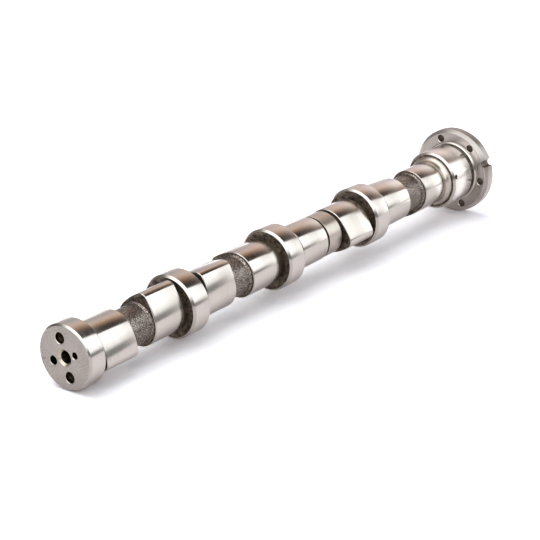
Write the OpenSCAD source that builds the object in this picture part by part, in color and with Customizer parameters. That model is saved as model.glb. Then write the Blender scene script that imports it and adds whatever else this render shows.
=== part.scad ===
// Camshaft of a small four-cylinder engine: five bearing journals, eight lobes and a flange, in one piece.
// The axis is Z. z = 0 is the rear face of the flange and the free end is at the top.
// Angles are degrees about +Z from +X, and stations are counted down from the free-end side of each bearing.

/* [Bearing journals] */
// Radius of the five journals
journal_r = 20; // [20:0.1:22]
// Width of the three middle journals
journal_w = 15.2; // [12:0.1:16]
// Width of the journal at the free end
end_journal_w = 13.1; // [10:0.1:13.5]
// Width of the journal beside the flange
flange_journal_w = 22.5; // [20:0.5:26]
// Distance from one bearing to the next
bay = 92.5; // [92:0.5:100]
// How far the free end stops short of a full bearing width
end_short = 4; // [3:0.1:4.4]
// Chamfer on the journal edges
journal_chamfer = 1.3; // [0.5:0.1:2]
// Chamfer on the edge of the free end face
end_chamfer = 1.1; // [0.5:0.1:2]

/* [Lobe section] */
// Radius of the base circle
base_r = 14.7; // [14.6:0.1:16]
// Reach of the nose of a first lobe from the axis
first_reach = 18.6; // [18:0.1:19.9]
// Reach of the nose of a second lobe
second_reach = 19.8; // [18:0.1:19.9]
// Radius of the nose
nose_r = 5.2; // [3.5:0.1:6]
// Radius of the two flanks
flank_r = 42; // [30:0.5:60]
// Width of the first lobe of each cylinder
first_w = 26; // [24:0.1:28]
// Width of the second lobe of each cylinder
second_w = 25; // [22:0.1:25.6]
// Width of lobe 8, which ends at the fillet of the flange journal
last_w = 23.2; // [21:0.1:23.5]

/* [Lobe timing] */
// Nose angle of the second lobe of cylinder 1
timing = -105; // [-180:1:180]
// Angle from the second lobe back to the first lobe of a cylinder
lobe_split = 101.5; // [95:0.5:120]

/* [Lobe stations] */
// Start of lobe 1 below the top of its bearing
lobe1_at = 20.2; // [18.6:0.1:21.5]
// Start of lobe 2
lobe2_at = 64.3; // [61:0.1:65.4]
// Start of lobe 3
lobe3_at = 19.3; // [17.5:0.1:21.5]
// Start of lobe 4
lobe4_at = 62.4; // [61:0.1:65.4]
// Start of lobe 5
lobe5_at = 20.2; // [17.5:0.1:21]
// Start of lobe 6
lobe6_at = 63.8; // [63.5:0.1:65.4]
// Start of lobe 7
lobe7_at = 20.6; // [17.5:0.1:21.5]
// Start of lobe 8
lobe8_at = 65.4; // [63:0.1:65.6]

/* [Shaft between the lobes] */
// Radius of the forged necks
neck_r = 12.1; // [10:0.1:12.1]
// Radius of the blend from a neck to the lobe beside it
neck_blend = 2.3; // [1:0.1:2.4]
// Radius of the turned relief beside each journal
relief_r = 13.6; // [13:0.1:14.3]
// Radius of the satin ring between lobes 5 and 6
ring_r = 14.2; // [13.2:0.1:14.4]
// Distance from lobe 5 to the satin ring
ring_gap = 2; // [1:0.1:3]
// Width of the satin ring
ring_w = 12.8; // [8:0.1:13.5]
// Radius of the shaft between lobe 8 and that fillet
flare_root = 14.5; // [13:0.1:14.5]
// Radius to which the fillet climbs at the flange journal
flare_top = 18.3; // [16:0.1:18.4]

/* [Flange] */
// Outer radius of the flange
flange_r = 29.5; // [28.5:0.1:34]
// Thickness of the flange
flange_t = 8; // [6:0.1:12]
// Bevel on the flange rim, on the shaft side
flange_bevel = 1.7; // [0.5:0.1:2]
// Small chamfer on the rear edge of the flange
flange_edge = 0.6; // [0.2:0.1:1]
// Radius of the thrust shoulder against the flange
shoulder_r = 21.2; // [20.5:0.1:21.3]
// Height of the thrust shoulder
shoulder_w = 1.6; // [1:0.1:3]
// Width of the grinding groove beside the shoulder
thrust_groove_w = 1.9; // [1:0.1:3]
// Depth of that groove below the journal
thrust_groove_d = 0.8; // [0.3:0.1:1.5]
// Radius of the circle of the flange holes
flange_hole_at = 23.9; // [23.9:0.1:25]
// Radius of the six flange holes
flange_hole_r = 2.5; // [2:0.05:2.55]
// Angle of the first flange hole
flange_hole_angle = -68; // [-90:1:-30]
// Angle of the locating notch in the rim
notch_angle = -160; // [-165:1:-155]
// Width of the notch
notch_w = 5; // [3:0.1:6]
// Radius from the axis to the bottom of the notch
notch_bottom = 26.4; // [26:0.1:27.5]

/* [Free end face] */
// Radius of the mouth of the centre hole
centre_r = 4.8; // [4:0.1:5]
// Depth of the straight mouth of the centre hole
centre_mouth = 1.6; // [1:0.1:3]
// Radius of the pilot drilling under the centre cone
pilot_r = 2; // [1.5:0.1:2.5]
// Depth of the pilot drilling
pilot_d = 13; // [11:0.5:20]
// Radius of the two threaded holes, at the core of the thread
thread_core_r = 3.4; // [3:0.05:3.5]
// Radius at which the threaded holes lie
thread_at = 11.7; // [11.7:0.1:13.5]
// Angle of the first threaded hole
thread_angle = -74.8; // [-85:0.1:-70]
// Depth of the threaded holes
thread_d = 20; // [15:0.5:25]
// Radius of the larger dowel hole
dowel_r = 2.7; // [2:0.05:2.8]
// Radius at which the larger dowel hole lies
dowel_at = 9.7; // [9.5:0.1:12]
// Angle of the larger dowel hole
dowel_angle = 22.4; // [15:0.1:30]
// Depth of the larger dowel hole
dowel_d = 9; // [6:0.5:12]
// Radius of the smaller dowel hole
small_dowel_r = 2.1; // [1.5:0.05:2.3]
// Radius at which the smaller dowel hole lies
small_dowel_at = 8.4; // [8.4:0.1:12]
// Angle of the smaller dowel hole
small_dowel_angle = -157.8; // [-165:0.1:-150]
// Depth of the smaller dowel hole
small_dowel_d = 7; // [5:0.5:10]

/* [Drillings] */
// Radius of the oil hole in the flange journal
oil_r = 1.4; // [1:0.1:1.8]
// Angle of the oil hole
oil_angle = -163.4; // [-180:0.1:-150]
// Distance of the oil hole from the front edge of its journal
oil_at = 3.2; // [3.2:0.1:8]
// Depth of the oil hole
oil_d = 9; // [5:0.5:12]
// Radius of the centre hole in the rear face
rear_centre_r = 3.2; // [2.5:0.1:4]
// Depth of the centre hole in the rear face
rear_centre_d = 10; // [8:0.5:15]

/* [Hidden] */
$fn = 96;
slack = 1;
cone = 30;
bays = 4;
holes = 6;
overlap = 0.35;
sink = 0.012;
flange_journal_z = flange_t + shoulder_w + thrust_groove_w;
first_top = flange_journal_z + flange_journal_w;
length = first_top + bays * bay - end_short;
centre_cone_d = (centre_r - pilot_r) / tan(cone);
rear_cone_d = (rear_centre_r - rear_centre_r / 2) / tan(cone);
to_base = flank_r - base_r;
to_nose = flank_r - nose_r;
first_at = [lobe1_at, lobe3_at, lobe5_at, lobe7_at];
second_at = [lobe2_at, lobe4_at, lobe6_at, lobe8_at];
second_ws = [second_w, second_w, second_w, last_w];
firing = [0, 3, 1, 2];

// Top of the bearing that opens bay i, with bay 0 at the free end.
function top(i) = first_top + (bays - i) * bay;

// Nose angle of the second lobe in bay i. Each cylinder fires a quarter turn after the one before.
function nose(i) = timing - 90 * firing[i];

function polar(r, a) = [r * cos(a), r * sin(a)];

// Cam section with its nose along +X: a base disc, a nose disc and a flank arc on each side.
module lobe_section(reach) {
    nose_at = reach - nose_r;
    flank_x = (to_base * to_base - to_nose * to_nose + nose_at * nose_at) / (2 * nose_at);
    flank_y = sqrt(to_base * to_base - flank_x * flank_x);
    base_tangent = atan2(flank_y, -flank_x);
    nose_tangent = atan2(flank_y, nose_at - flank_x);
    circle(base_r);
    translate([nose_at, 0]) circle(nose_r);
    polygon([
        polar(base_r / 2, base_tangent),
        [nose_at, 0] + polar(nose_r / 2, nose_tangent),
        [nose_at, 0] + polar(nose_r / 2, -nose_tangent),
        polar(base_r / 2, -base_tangent)
    ]);
    for (side = [1, -1]) intersection() {
        translate([flank_x, -side * flank_y]) circle(flank_r - sink);
        polygon([
            [0, 0],
            polar(base_r + slack, side * base_tangent),
            [nose_at, 0] + polar(nose_r + slack, side * nose_tangent),
            [nose_at, 0]
        ]);
    }
}

module lobe(z_top, width, angle, reach) {
    translate([0, 0, z_top - width]) rotate(angle) linear_extrude(width) lobe_section(reach);
}

module lobes() {
    for (i = [0 : bays - 1]) {
        lobe(top(i) - first_at[i], first_w, nose(i) - lobe_split, first_reach);
        lobe(top(i) - second_at[i], second_ws[i], nose(i), second_reach);
    }
}

// Half section of a plain turned band.
module band(r, z0, z1) {
    translate([0, z0]) square([r, z1 - z0]);
}

// Half section of a bearing journal with a chamfer at both ends, top_c being the one at the upper end.
module journal(z0, z1, top_c) {
    r = journal_r;
    c = journal_chamfer;
    polygon([[0, z0], [r - c, z0], [r, z0 + c], [r, z1 - top_c], [r - top_c, z1], [0, z1]]);
}

// Half section of a neck that swells into the lobe above and below it.
module neck(z0, z1) {
    r = neck_blend;
    a = z0 - overlap;
    b = z1 + overlap;
    difference() {
        band(neck_r + r, a, b);
        translate([neck_r, a + r]) square([2 * r, b - a - 2 * r]);
        translate([neck_r + r, a + r]) circle(r);
        translate([neck_r + r, b - r]) circle(r);
    }
}

// Half section of the fillet that climbs to the flange journal.
module flare_section() {
    r = flare_top - flare_root;
    difference() {
        band(flare_top, first_top, first_top + r);
        translate([flare_top, first_top + r]) circle(r);
    }
}

module flange_section() {
    r = flange_r;
    b = flange_bevel;
    e = flange_edge;
    polygon([[0, 0], [r - e, 0], [r, e], [r, flange_t - b], [r - b, flange_t], [0, flange_t]]);
}

module turned_section() {
    band(neck_r, 0, length);
    flange_section();
    band(shoulder_r, 0, flange_t + shoulder_w);
    band(journal_r - thrust_groove_d, 0, flange_journal_z);
    journal(flange_journal_z, first_top, journal_chamfer);
    flare_section();
    for (i = [1 : bays - 1]) {
        journal(top(i) - journal_w, top(i), journal_chamfer);
        band(relief_r, top(i) - first_at[i] - slack, top(i - 1) - second_at[i - 1] - second_w + slack);
    }
    journal(length - end_journal_w, length, end_chamfer);
    band(relief_r, top(0) - first_at[0] - slack, length - slack);
    band(flare_root, first_top, top(bays - 1) - second_at[bays - 1] - last_w + slack);
    for (i = [0, 1, 3]) neck(top(i) - second_at[i], top(i) - first_at[i] - first_w);
    ring_top = top(2) - first_at[2] - first_w - ring_gap;
    band(ring_r, ring_top - ring_w, ring_top);
}

// Blind hole along the axis direction, drilled down from the free end face.
module drilling(r, at, angle, depth) {
    rotate(angle) translate([at, 0, length - depth]) cylinder(r = r, h = depth + slack);
}

// Lathe centre: straight mouth, sixty degree cone and pilot drilling, opening upwards at z = 0.
module centre_hole(r, mouth, cone_d, small_r, depth) {
    rotate_extrude() polygon([
        [0, slack], [r, slack], [r, -mouth], [small_r, -mouth - cone_d], [small_r, -depth], [0, -depth]
    ]);
}

module end_holes() {
    translate([0, 0, length]) centre_hole(centre_r, centre_mouth, centre_cone_d, pilot_r, pilot_d);
    drilling(thread_core_r, thread_at, thread_angle, thread_d);
    drilling(thread_core_r, thread_at, thread_angle + 180, thread_d);
    drilling(dowel_r, dowel_at, dowel_angle, dowel_d);
    drilling(small_dowel_r, small_dowel_at, small_dowel_angle, small_dowel_d);
}

module flange_holes() {
    for (i = [0 : holes - 1]) rotate(flange_hole_angle + i * 360 / holes)
        translate([flange_hole_at, 0, -slack]) cylinder(r = flange_hole_r, h = flange_t + 2 * slack);
    mirror([0, 0, 1]) centre_hole(rear_centre_r, 0, rear_cone_d, rear_centre_r / 2, rear_centre_d);
}

// U-shaped notch that opens at the rim of the flange.
module notch() {
    r = notch_w / 2;
    rotate(notch_angle) translate([0, 0, -slack]) linear_extrude(flange_t + 2 * slack) {
        translate([notch_bottom + r, 0]) circle(r);
        translate([notch_bottom + r, -r]) square([flange_r, notch_w]);
    }
}

module oil_hole() {
    rotate(oil_angle) translate([journal_r - oil_d, 0, first_top - oil_at])
        rotate([0, 90, 0]) cylinder(r = oil_r, h = oil_d + slack);
}

module camshaft() {
    color([0.62, 0.62, 0.6]) difference() {
        union() {
            rotate_extrude() turned_section();
            lobes();
        }
        end_holes();
        flange_holes();
        notch();
        oil_hole();
    }
}

camshaft();
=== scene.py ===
"""Looks of a four-cylinder engine camshaft: ground journals and lobes, forged necks and a drilled flange.

The shaft stands on its flange in the shared frame, so the camera is rolled to show it lying down.
Sizes are in millimetres in the classes of the camshaft, and in metres in the meshes and the studio.
"""

from __future__ import annotations

import logging
import math
from dataclasses import dataclass, field
from enum import Enum
from typing import Iterable

import bmesh
import bpy
from mathutils import Matrix, Vector


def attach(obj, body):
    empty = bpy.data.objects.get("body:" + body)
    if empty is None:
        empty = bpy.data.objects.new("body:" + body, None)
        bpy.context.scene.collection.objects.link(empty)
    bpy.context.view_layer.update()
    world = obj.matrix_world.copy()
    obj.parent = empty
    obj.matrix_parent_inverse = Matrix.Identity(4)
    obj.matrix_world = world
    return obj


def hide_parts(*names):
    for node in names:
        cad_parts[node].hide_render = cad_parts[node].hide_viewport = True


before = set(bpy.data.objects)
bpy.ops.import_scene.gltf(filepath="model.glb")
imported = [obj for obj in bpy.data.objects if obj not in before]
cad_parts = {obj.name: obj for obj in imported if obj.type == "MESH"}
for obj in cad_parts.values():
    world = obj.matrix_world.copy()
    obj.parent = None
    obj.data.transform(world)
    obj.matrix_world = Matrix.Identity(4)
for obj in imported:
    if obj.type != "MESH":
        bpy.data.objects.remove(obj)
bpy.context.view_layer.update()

LOG = logging.getLogger("camshaft")
MM = 0.001
BODY = "root"
NODE = "camshaft"
WELD = 1e-6
# Share of a full turn, as the shader counts the rotation of its anisotropy
QUARTER_TURN = 0.25
# Half of the sixty degrees of a lathe centre
CENTRE_HALF_ANGLE = 30.0
Colour = tuple[float, float, float]
Triple = tuple[float, float, float]
WHITE: Colour = (1.0, 1.0, 1.0)
Socket = bpy.types.NodeSocket
WorkMesh = bmesh.types.BMesh


class Finish(Enum):
    """Finishes of the shaft, valued by their material slot."""

    JOURNAL = 0
    CAM = 1
    EDGE = 2
    NECK = 3
    ROUGH_FACE = 4
    END_FACE = 5
    FLANGE_FACE = 6
    RIM = 7
    RELIEF = 8
    SATIN = 9
    BORE = 10
    BORE_MOUTH = 11
    CENTRE = 12
    FLANGE_JOURNAL = 13
    REAR_EDGE = 14


@dataclass
class NodeBench:
    """Wires the nodes of one tree."""

    tree: bpy.types.NodeTree

    def node(
        self, kind: str, inputs: dict[str | int, object] | None = None, **settings: object,
    ) -> bpy.types.Node:
        """Adds a node.

        Args:
            kind: Blender's type name of the node.
            inputs: What its inputs are fed with, by name or number.
            **settings: Properties to set on it first.

        Returns:
            The new node.
        """
        made = self.tree.nodes.new(kind)
        for name, value in settings.items():
            setattr(made, name, value)
        for label, value in (inputs or {}).items():
            self.feed(made.inputs[label], value)
        return made

    def feed(self, socket: Socket, value: object) -> None:
        """Links a socket, or sets it where a plain value is given.

        Args:
            socket: The input to feed.
            value: Another socket, a number, or the parts of a vector or colour.
        """
        if isinstance(value, Socket):
            self.tree.links.new(value, socket)
        elif isinstance(value, tuple) and len(value) == 3 and socket.type == "RGBA":
            socket.default_value = (*value, 1.0)
        else:
            socket.default_value = value

    def maths(self, operation: str, *values: object) -> Socket:
        """Does one sum on numbers, named as Blender names it."""
        return self.node("ShaderNodeMath", dict(enumerate(values)), operation=operation).outputs[0]

    def spread(
        self, value: object, start: object, end: object, low: object = 0.0, high: object = 1.0,
    ) -> Socket:
        """Maps the range from start to end onto the one from low to high, with the ends held."""
        inputs = dict(enumerate((value, start, end, low, high)))
        return self.node("ShaderNodeMapRange", inputs).outputs[0]

    def blend(self, share: object, first: object, second: object) -> Socket:
        """Mixes two colours.

        Args:
            share: How much of the second colour shows.
            first: The first colour.
            second: The second colour.

        Returns:
            The socket with the mixed colour.
        """
        inputs = {"Factor": share, "A": first, "B": second}
        mixed = self.node("ShaderNodeMix", inputs, data_type="RGBA")
        return next(s for s in mixed.outputs if s.type == "RGBA")

    def noise(self, place: object, detail: float, roughness: float) -> Socket:
        """Adds noise at unit scale, read at a place."""
        inputs = {"Vector": place, "Scale": 1.0, "Detail": detail, "Roughness": roughness}
        return self.node("ShaderNodeTexNoise", inputs, noise_dimensions="3D").outputs[0]

    def show(self, surface: Socket, kind: str = "ShaderNodeOutputMaterial") -> None:
        """Ends the tree with its output, which shows a shader."""
        self.node(kind, {"Surface": surface})

    def light_path(self, *rays: str) -> Socket:
        """Tells some kinds of ray from the others.

        Args:
            *rays: Names of the kinds of ray.

        Returns:
            The socket that is one for a ray of any of these kinds, otherwise nought.
        """
        path = self.node("ShaderNodeLightPath")
        seen = path.outputs[rays[0]]
        for ray in rays[1:]:
            seen = self.maths("MAXIMUM", seen, path.outputs[ray])
        return seen


def blank_material(name: str) -> tuple[bpy.types.Material, NodeBench]:
    """Makes a material without nodes.

    Args:
        name: Name of the material.

    Returns:
        The material and the bench that wires it.
    """
    material = bpy.data.materials.new(name)
    material.use_nodes = True
    material.node_tree.nodes.clear()
    return material, NodeBench(material.node_tree)


@dataclass
class MachiningMarks:
    """Shared node group: lines left by the wheel or the tool, fine grit and cloudy blotches."""

    name: str = "machining_marks"
    sweep: float = 45.0
    line_noise: tuple[float, float] = (4.0, 0.65)
    grit_noise: tuple[float, float] = (2.5, 0.6)
    blotch_noise: tuple[float, float] = (3.0, 0.55)
    inputs: tuple[tuple[str, float], ...] = (
        ("Line Scale", 900.0),
        ("Radial Share", 1.0),
        ("Grit Scale", 2500.0),
        ("Blotch Scale", 90.0),
    )

    def build(self) -> bpy.types.ShaderNodeTree:
        """Builds the group.

        Returns:
            The node group, with its outputs Lines, Grit and Blotches.
        """
        group = bpy.data.node_groups.new(self.name, "ShaderNodeTree")
        group.interface.new_socket(name="Place", in_out="INPUT", socket_type="NodeSocketVector")
        for label, value in self.inputs:
            socket = group.interface.new_socket(name=label, in_out="INPUT", socket_type="NodeSocketFloat")
            socket.default_value = value
        for label in ("Lines", "Grit", "Blotches"):
            group.interface.new_socket(name=label, in_out="OUTPUT", socket_type="NodeSocketFloat")
        bench = NodeBench(group)
        given = bench.node("NodeGroupInput")
        across, deep, height = bench.node("ShaderNodeSeparateXYZ", {0: given.outputs["Place"]}).outputs
        across_squared, deep_squared = (bench.maths("MULTIPLY", part, part) for part in (across, deep))
        radius = bench.maths("SQRT", bench.maths("ADD", across_squared, deep_squared))
        step = bench.maths("MULTIPLY_ADD", radius, given.outputs["Radial Share"], height)
        lined = bench.node("ShaderNodeCombineXYZ", {
            0: bench.maths("MULTIPLY", across, self.sweep),
            1: bench.maths("MULTIPLY", deep, self.sweep),
            2: bench.maths("MULTIPLY", step, given.outputs["Line Scale"]),
        })
        bench.node("NodeGroupOutput", {
            "Lines": bench.noise(lined.outputs[0], *self.line_noise),
            "Grit": bench.noise(self.scaled(bench, given, "Grit Scale"), *self.grit_noise),
            "Blotches": bench.noise(self.scaled(bench, given, "Blotch Scale"), *self.blotch_noise),
        })
        return group

    def scaled(self, bench: NodeBench, given: bpy.types.Node, label: str) -> Socket:
        """Scales the given place by the input of the group with this label."""
        inputs = {0: given.outputs["Place"], "Scale": given.outputs[label]}
        return bench.node("ShaderNodeVectorMath", inputs, operation="SCALE").outputs[0]


@dataclass(frozen=True)
class SteelFinish:
    """One finish of the steel: two tones, a range of roughness and the relief of its marks.

    The scales of the marks are per metre and their depths in metres.
    """

    name: str
    bright: Colour
    dull: Colour
    smooth: float
    coarse: float
    line_scale: float = 900.0
    radial_share: float = 1.0
    line_depth: float = 2e-6
    grit_scale: float = 2500.0
    grit_depth: float = 1e-6
    blotch_scale: float = 90.0
    grit_tone: float = 0.3
    line_tone: float = 0.4
    tone_start: float = 0.35
    tone_end: float = 0.65
    anisotropy: float = 0.0

    def build(self, marks: bpy.types.ShaderNodeTree) -> bpy.types.Material:
        """Builds the material.

        Args:
            marks: The shared group of machining marks.

        Returns:
            The finished material.
        """
        material, bench = blank_material(self.name)
        worked = bench.node("ShaderNodeGroup", node_tree=marks, inputs={
            "Place": bench.node("ShaderNodeTexCoord").outputs["Object"],
            "Line Scale": self.line_scale,
            "Radial Share": self.radial_share,
            "Grit Scale": self.grit_scale,
            "Blotch Scale": self.blotch_scale,
        })
        lines, grit, blotches = (worked.outputs[label] for label in ("Lines", "Grit", "Blotches"))
        fine, height = (
            bench.maths("MULTIPLY_ADD", lines, line_share, bench.maths("MULTIPLY", grit, grit_share))
            for line_share, grit_share in (
                (self.line_tone, self.grit_tone), (self.line_depth, self.grit_depth),
            )
        )
        blotched = bench.maths("MULTIPLY_ADD", blotches, 1.0 - self.grit_tone - self.line_tone, fine)
        tone = bench.spread(blotched, self.tone_start, self.tone_end)
        relief = bench.node("ShaderNodeBump", {"Strength": 1.0, "Distance": 1.0, "Height": height})
        inputs = {
            "Base Color": bench.blend(tone, self.dull, self.bright),
            "Metallic": 1.0,
            "Roughness": bench.spread(tone, 0.0, 1.0, self.coarse, self.smooth),
            "Normal": relief.outputs[0],
        }
        if self.anisotropy:
            round_axis = bench.node("ShaderNodeTangent", direction_type="RADIAL", axis="Z")
            inputs["Anisotropic"] = self.anisotropy
            inputs["Anisotropic Rotation"] = QUARTER_TURN
            inputs["Tangent"] = round_axis.outputs[0]
        bench.show(bench.node("ShaderNodeBsdfPrincipled", inputs).outputs[0])
        return material


FINISHES: dict[Finish, SteelFinish] = {
    Finish.JOURNAL: SteelFinish(
        "ground_journal", (0.72, 0.69, 0.665), (0.64, 0.61, 0.585), 0.14, 0.21,
        line_scale=1100.0, line_depth=3e-6, anisotropy=0.6,
    ),
    # Painted light: the same ground steel as the other journals, made lighter on the journal beside the
    # flange
    Finish.FLANGE_JOURNAL: SteelFinish(
        "ground_flange_journal_painted_light", (0.9, 0.87, 0.85), (0.82, 0.79, 0.77), 0.2, 0.28,
        line_scale=1100.0, line_depth=3e-6, anisotropy=0.7,
    ),
    Finish.CAM: SteelFinish(
        "ground_lobe", (0.72, 0.69, 0.66), (0.64, 0.605, 0.575), 0.13, 0.2,
        line_scale=1000.0, radial_share=0.0, line_depth=3e-6, anisotropy=0.6,
    ),
    Finish.EDGE: SteelFinish(
        "broken_edge", (0.62, 0.595, 0.57), (0.46, 0.435, 0.41), 0.1, 0.2,
    ),
    # The lobes' rear bevels take a lighter, yellower tone than their front bevels
    Finish.REAR_EDGE: SteelFinish(
        "lighter_rear_edge", (0.9, 0.85, 0.7), (0.3, 0.26, 0.17), 0.2, 0.45,
        grit_scale=1500.0, grit_depth=4e-5, grit_tone=0.8, line_tone=0.0,
    ),
    Finish.NECK: SteelFinish(
        "blasted_neck", (0.62, 0.56, 0.515), (0.065, 0.05, 0.043), 0.28, 0.5,
        line_depth=1e-5, grit_scale=1900.0, grit_depth=1.5e-4, blotch_scale=220.0,
        grit_tone=0.92, line_tone=0.0, tone_start=0.46, tone_end=0.64,
    ),
    # Dark forged scale on the faces, darkened further as painted shade of the hollows between the lobes
    Finish.ROUGH_FACE: SteelFinish(
        "forged_and_shaded_face", (0.34, 0.285, 0.23), (0.035, 0.027, 0.021), 0.34, 0.6,
        line_depth=1e-5, grit_scale=1500.0, grit_depth=1.4e-4, blotch_scale=260.0,
        grit_tone=0.55, line_tone=0.05, tone_start=0.42, tone_end=0.68,
    ),
    Finish.END_FACE: SteelFinish(
        "ground_end_face", (0.64, 0.605, 0.58), (0.26, 0.238, 0.222), 0.34, 0.48,
        line_scale=1500.0, line_depth=3e-6, grit_scale=1500.0, grit_depth=1.6e-5,
        grit_tone=0.8, line_tone=0.05, tone_start=0.34, tone_end=0.66,
    ),
    Finish.FLANGE_FACE: SteelFinish(
        "turned_flange_face", (0.52, 0.485, 0.46), (0.4, 0.37, 0.345), 0.2, 0.3,
        line_scale=1400.0, line_depth=5e-6, anisotropy=0.6,
    ),
    Finish.RIM: SteelFinish(
        "turned_rim", (0.44, 0.415, 0.395), (0.34, 0.315, 0.3), 0.3, 0.42,
        line_scale=1400.0, line_depth=5e-6, anisotropy=0.5,
    ),
    Finish.RELIEF: SteelFinish(
        "turned_relief", (0.36, 0.32, 0.25), (0.08, 0.065, 0.05), 0.26, 0.46,
        line_scale=1500.0, line_depth=2.2e-5, grit_tone=0.2, line_tone=0.6,
    ),
    Finish.SATIN: SteelFinish(
        "satin_band", (0.66, 0.61, 0.56), (0.5, 0.455, 0.41), 0.24, 0.36,
        line_scale=1300.0, line_depth=6e-6, anisotropy=0.5,
    ),
    # Painted shade: the walls of the holes are near black for the shade down inside them
    Finish.BORE: SteelFinish(
        "shaded_drilled_wall", (0.075, 0.056, 0.036), (0.02, 0.015, 0.01), 0.3, 0.46,
        line_scale=1800.0, line_depth=1.5e-5, line_tone=0.5,
    ),
    Finish.BORE_MOUTH: SteelFinish(
        "countersunk_mouth", (0.72, 0.66, 0.57), (0.42, 0.375, 0.31), 0.24, 0.4, line_depth=4e-6,
    ),
    # Painted shade: the lathe centre's cone is near black for the shade inside the hole
    Finish.CENTRE: SteelFinish(
        "shaded_centre_cone", (0.09, 0.074, 0.06), (0.03, 0.024, 0.019), 0.2, 0.34,
        line_scale=1600.0, line_depth=1e-5,
    ),
}


@dataclass(frozen=True)
class Corner:
    """A corner of a turned outline, and the surface that runs on from it."""

    radius: float
    height: float
    surface: Finish = Finish.SATIN
    ease: float = 0.0

    @property
    def point(self) -> Vector:
        """The corner as a point of the half section."""
        return Vector((self.radius, self.height))


@dataclass
class Outline:
    """Half section of a turned body, given by its corners from one end of the axis to the other."""

    corners: list[Corner] = field(default_factory=list)
    ease_steps: int = 3
    hollow_steps: int = 12

    def to(self, radius: float, height: float, surface: Finish, ease: float = 0.0) -> "Outline":
        """Adds a corner, rounded by the ease, and the finish of the surface that follows it."""
        self.corners.append(Corner(radius, height, surface, ease))
        return self

    def hollow(
        self, centre: Vector, radius: float, start: float, end: float, surface: Finish,
    ) -> "Outline":
        """Adds a fillet arc.

        Args:
            centre: Centre of the arc in the half section.
            radius: Radius of the arc.
            start: Angle at which it begins, in degrees.
            end: Angle at which it ends.
            surface: Finish of the fillet.

        Returns:
            The outline itself.
        """
        for part in range(self.hollow_steps + 1):
            angle = math.radians(start + (end - start) * part / self.hollow_steps)
            spot = centre + radius * Vector((math.cos(angle), math.sin(angle)))
            self.to(spot.x, spot.y, surface)
        return self

    def spans(self) -> list[tuple[list[Vector], Finish]]:
        """Breaks the outline into runs of one finish.

        Returns:
            Each run's points and its finish.
        """
        runs: list[tuple[list[Vector], Finish]] = []
        last = self.corners[0].point
        for before, here, after in zip(self.corners, self.corners[1:], [*self.corners[2:], None]):
            bend = self.eased(before.point, here, after.point) if after and here.ease else [here.point]
            runs.append(([last, bend[0]], before.surface))
            if len(bend) > 1:
                runs.append((bend, Finish.EDGE))
            last = bend[-1]
        merged: list[tuple[list[Vector], Finish]] = []
        for points, surface in runs:
            if merged and merged[-1][1] is surface:
                merged[-1][0].extend(points[1:])
            else:
                merged.append((list(points), surface))
        return merged

    def eased(self, before: Vector, here: Corner, after: Vector) -> list[Vector]:
        """Rounds one corner.

        Args:
            before: The point before the corner.
            here: The corner.
            after: The point after it.

        Returns:
            The points of the small arc.
        """
        back = (before - here.point).normalized()
        onward = (after - here.point).normalized()
        half = back.angle(onward) / 2
        reach = here.ease / math.tan(half)
        hub = here.point + (back + onward).normalized() * (here.ease / math.sin(half))
        first = here.point + back * reach - hub
        last = here.point + onward * reach - hub
        turn = first.angle_signed(last)
        arc = []
        for part in range(self.ease_steps + 1):
            arc.append(hub + Matrix.Rotation(-turn * part / self.ease_steps, 2) @ first)
        return arc


def meshed(name: str, bm: WorkMesh) -> bpy.types.Mesh:
    """Turns a working mesh into mesh data.

    Args:
        name: Name of the data.
        bm: The working mesh, which is freed.

    Returns:
        The mesh data.
    """
    mesh = bpy.data.meshes.new(name)
    bm.to_mesh(mesh)
    bm.free()
    return mesh


def placed(name: str, data: bpy.types.ID) -> bpy.types.Object:
    """Makes an object and puts it in the scene.

    Args:
        name: Name of the object.
        data: Its mesh, light or camera.

    Returns:
        The new object.
    """
    made = bpy.data.objects.new(name, data)
    bpy.context.scene.collection.objects.link(made)
    return made


def painted(bm: WorkMesh, surface: Finish) -> WorkMesh:
    """Gives every face of a mesh one finish.

    Args:
        bm: The mesh.
        surface: The finish.

    Returns:
        The same mesh.
    """
    for face in bm.faces:
        face.material_index = surface.value
    return bm


def broken(bm: WorkMesh, edges: Iterable[bmesh.types.BMEdge], width: float, segments: int) -> None:
    """Rounds some edges of a mesh.

    Args:
        bm: The mesh.
        edges: The edges to round.
        width: How much is taken off each side.
        segments: How many facets the round has.
    """
    bmesh.ops.bevel(
        bm, geom=list(edges), offset=width * MM, offset_type="OFFSET", segments=segments,
        profile=0.5, affect="EDGES", material=-1,
    )


def prism(points: Iterable[Vector], floor: float, height: float) -> WorkMesh:
    """Raises a closed prism over a flat outline.

    Args:
        points: Corners of the outline.
        floor: Height of the lower face.
        height: How tall the prism is.

    Returns:
        The prism.
    """
    bm = bmesh.new()
    base = bm.faces.new([bm.verts.new((p.x * MM, p.y * MM, floor * MM)) for p in points])
    raised = bmesh.ops.extrude_face_region(bm, geom=[base], use_keep_orig=True)["geom"]
    lifted = [item for item in raised if isinstance(item, bmesh.types.BMVert)]
    bmesh.ops.translate(bm, verts=lifted, vec=(0, 0, height * MM))
    bmesh.ops.recalc_face_normals(bm, faces=bm.faces)
    return bm


def joined(parts: Iterable[WorkMesh]) -> WorkMesh:
    """Puts meshes together in one, without welding them.

    Args:
        parts: The meshes, which are freed.

    Returns:
        The common mesh.
    """
    whole = bmesh.new()
    for part in parts:
        shape = meshed("part", part)
        whole.from_mesh(shape)
        bpy.data.meshes.remove(shape)
    return whole


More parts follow.
